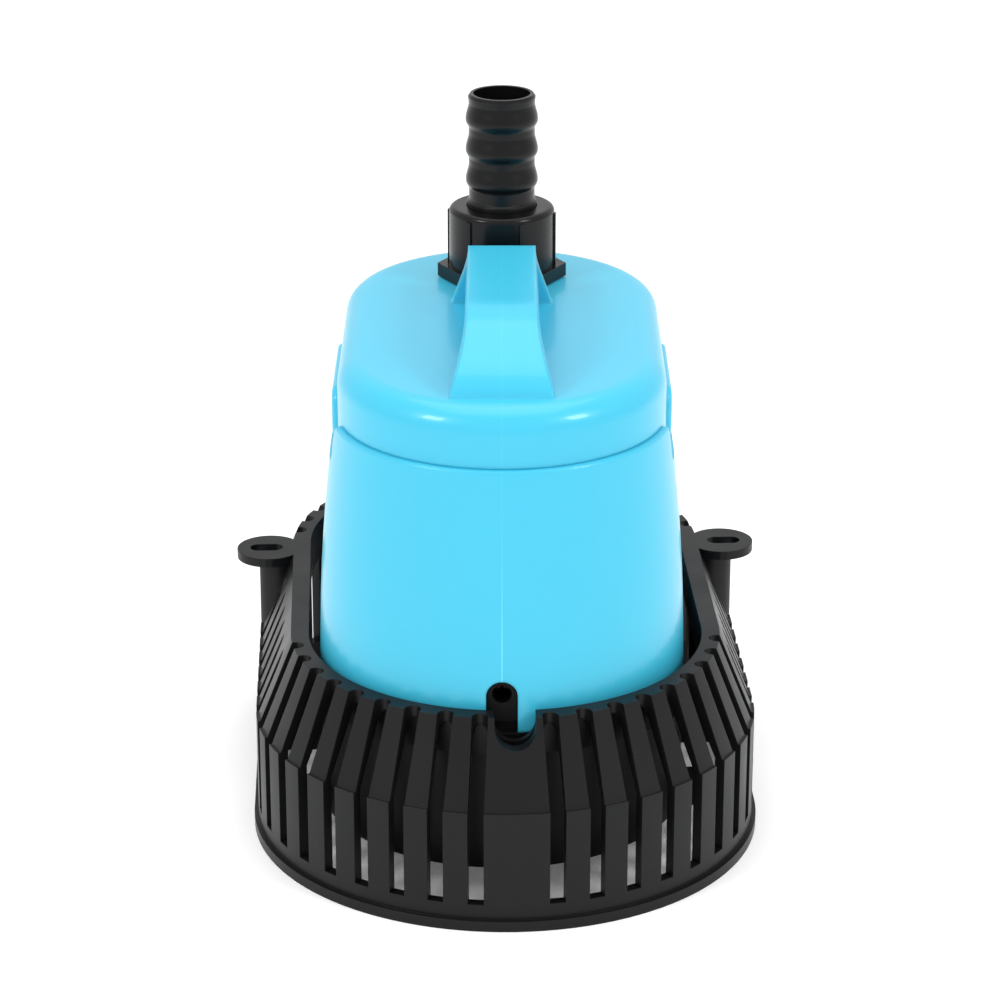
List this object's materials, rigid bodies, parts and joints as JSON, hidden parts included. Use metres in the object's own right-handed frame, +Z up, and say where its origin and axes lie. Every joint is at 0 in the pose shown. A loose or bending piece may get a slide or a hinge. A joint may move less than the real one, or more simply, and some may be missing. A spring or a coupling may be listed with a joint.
{
  "type": "submersible pump",
  "caption": "Bottom-suction pond and aquarium pump: gloss blue housing with strap handle, black slotted strainer base and barbed hose tail on a union nut.",
  "frame": {"origin": "middle of the strainer base's underside", "axes": "+Z up along the outlet, -Y towards the front of the pump where the cable enters, X along the line of the two fixing lugs"},
  "size_m": [0.1524, 0.21, 0.1923],
  "materials": {
    "black_abs": "satin, moulded",
    "blue_abs": "gloss, moulded",
    "nut_abs": "gloss, moulded",
    "rubber": "matt",
    "white_acetal": "satin",
    "ceramic": "polished",
    "ferrite": "ground",
    "steel": "satin",
    "copper": "enamelled wire",
    "resin": "cast"
  },
  "bodies": {
    "strainer": {"strainer_base": "black_abs"},
    "pump": {"motor_housing": "blue_abs", "top_cover": "blue_abs", "lid_seal": "rubber", "riser_pipe": "nut_abs", "volute_body": "black_abs", "rotor_shaft": "ceramic", "lower_bush": "ceramic", "upper_bush": "rubber", "thrust_washers": "white_acetal", "rotor_can": "black_abs", "stator_core": "steel", "coil_bobbins": "white_acetal", "coil_windings": "copper", "thermal_fuse": "white_acetal", "cable_gland": "rubber", "lead_wires": "copper", "potting_resin": "resin", "volute_screws": "steel"},
    "rotor": {"impeller": "white_acetal", "rotor_sleeve": "white_acetal", "magnet_rotor": "ferrite"},
    "inlet_cover": {"volute_cover": "black_abs", "volute_o_ring": "rubber"},
    "hose_tail": {"hose_barb": "nut_abs", "outlet_gasket": "rubber"},
    "nut": {"union_nut": "nut_abs"}
  },
  "joints": [
    {"name": "pump_lift", "type": "slide", "parent": "strainer", "child": "pump", "axis": [0, 0, 1], "range_m": [0, 0.06]},
    {"name": "rotor_spin", "type": "hinge", "parent": "pump", "child": "rotor", "pos_m": [-0.00034, -0.01998, 0.06], "axis": [0, 0, 1], "continuous": true},
    {"name": "cover_twist", "type": "hinge", "parent": "pump", "child": "inlet_cover", "pos_m": [-0.00034, -0.01998, 0.022], "axis": [0, 0, 1], "range_deg": [0, 25]},
    {"name": "tail_lift", "type": "slide", "parent": "pump", "child": "hose_tail", "axis": [0, 0, 1], "range_m": [0, 0.0108]},
    {"name": "nut_turn", "type": "hinge", "parent": "hose_tail", "child": "nut", "pos_m": [0.00205, 0.03456, 0.148], "axis": [0, 0, 1], "range_deg": [0, 2160]}
  ],
  "couplings": [
    {"joint": "nut_turn", "follows": "tail_lift", "rad_per_m": 3463.7}
  ]
}
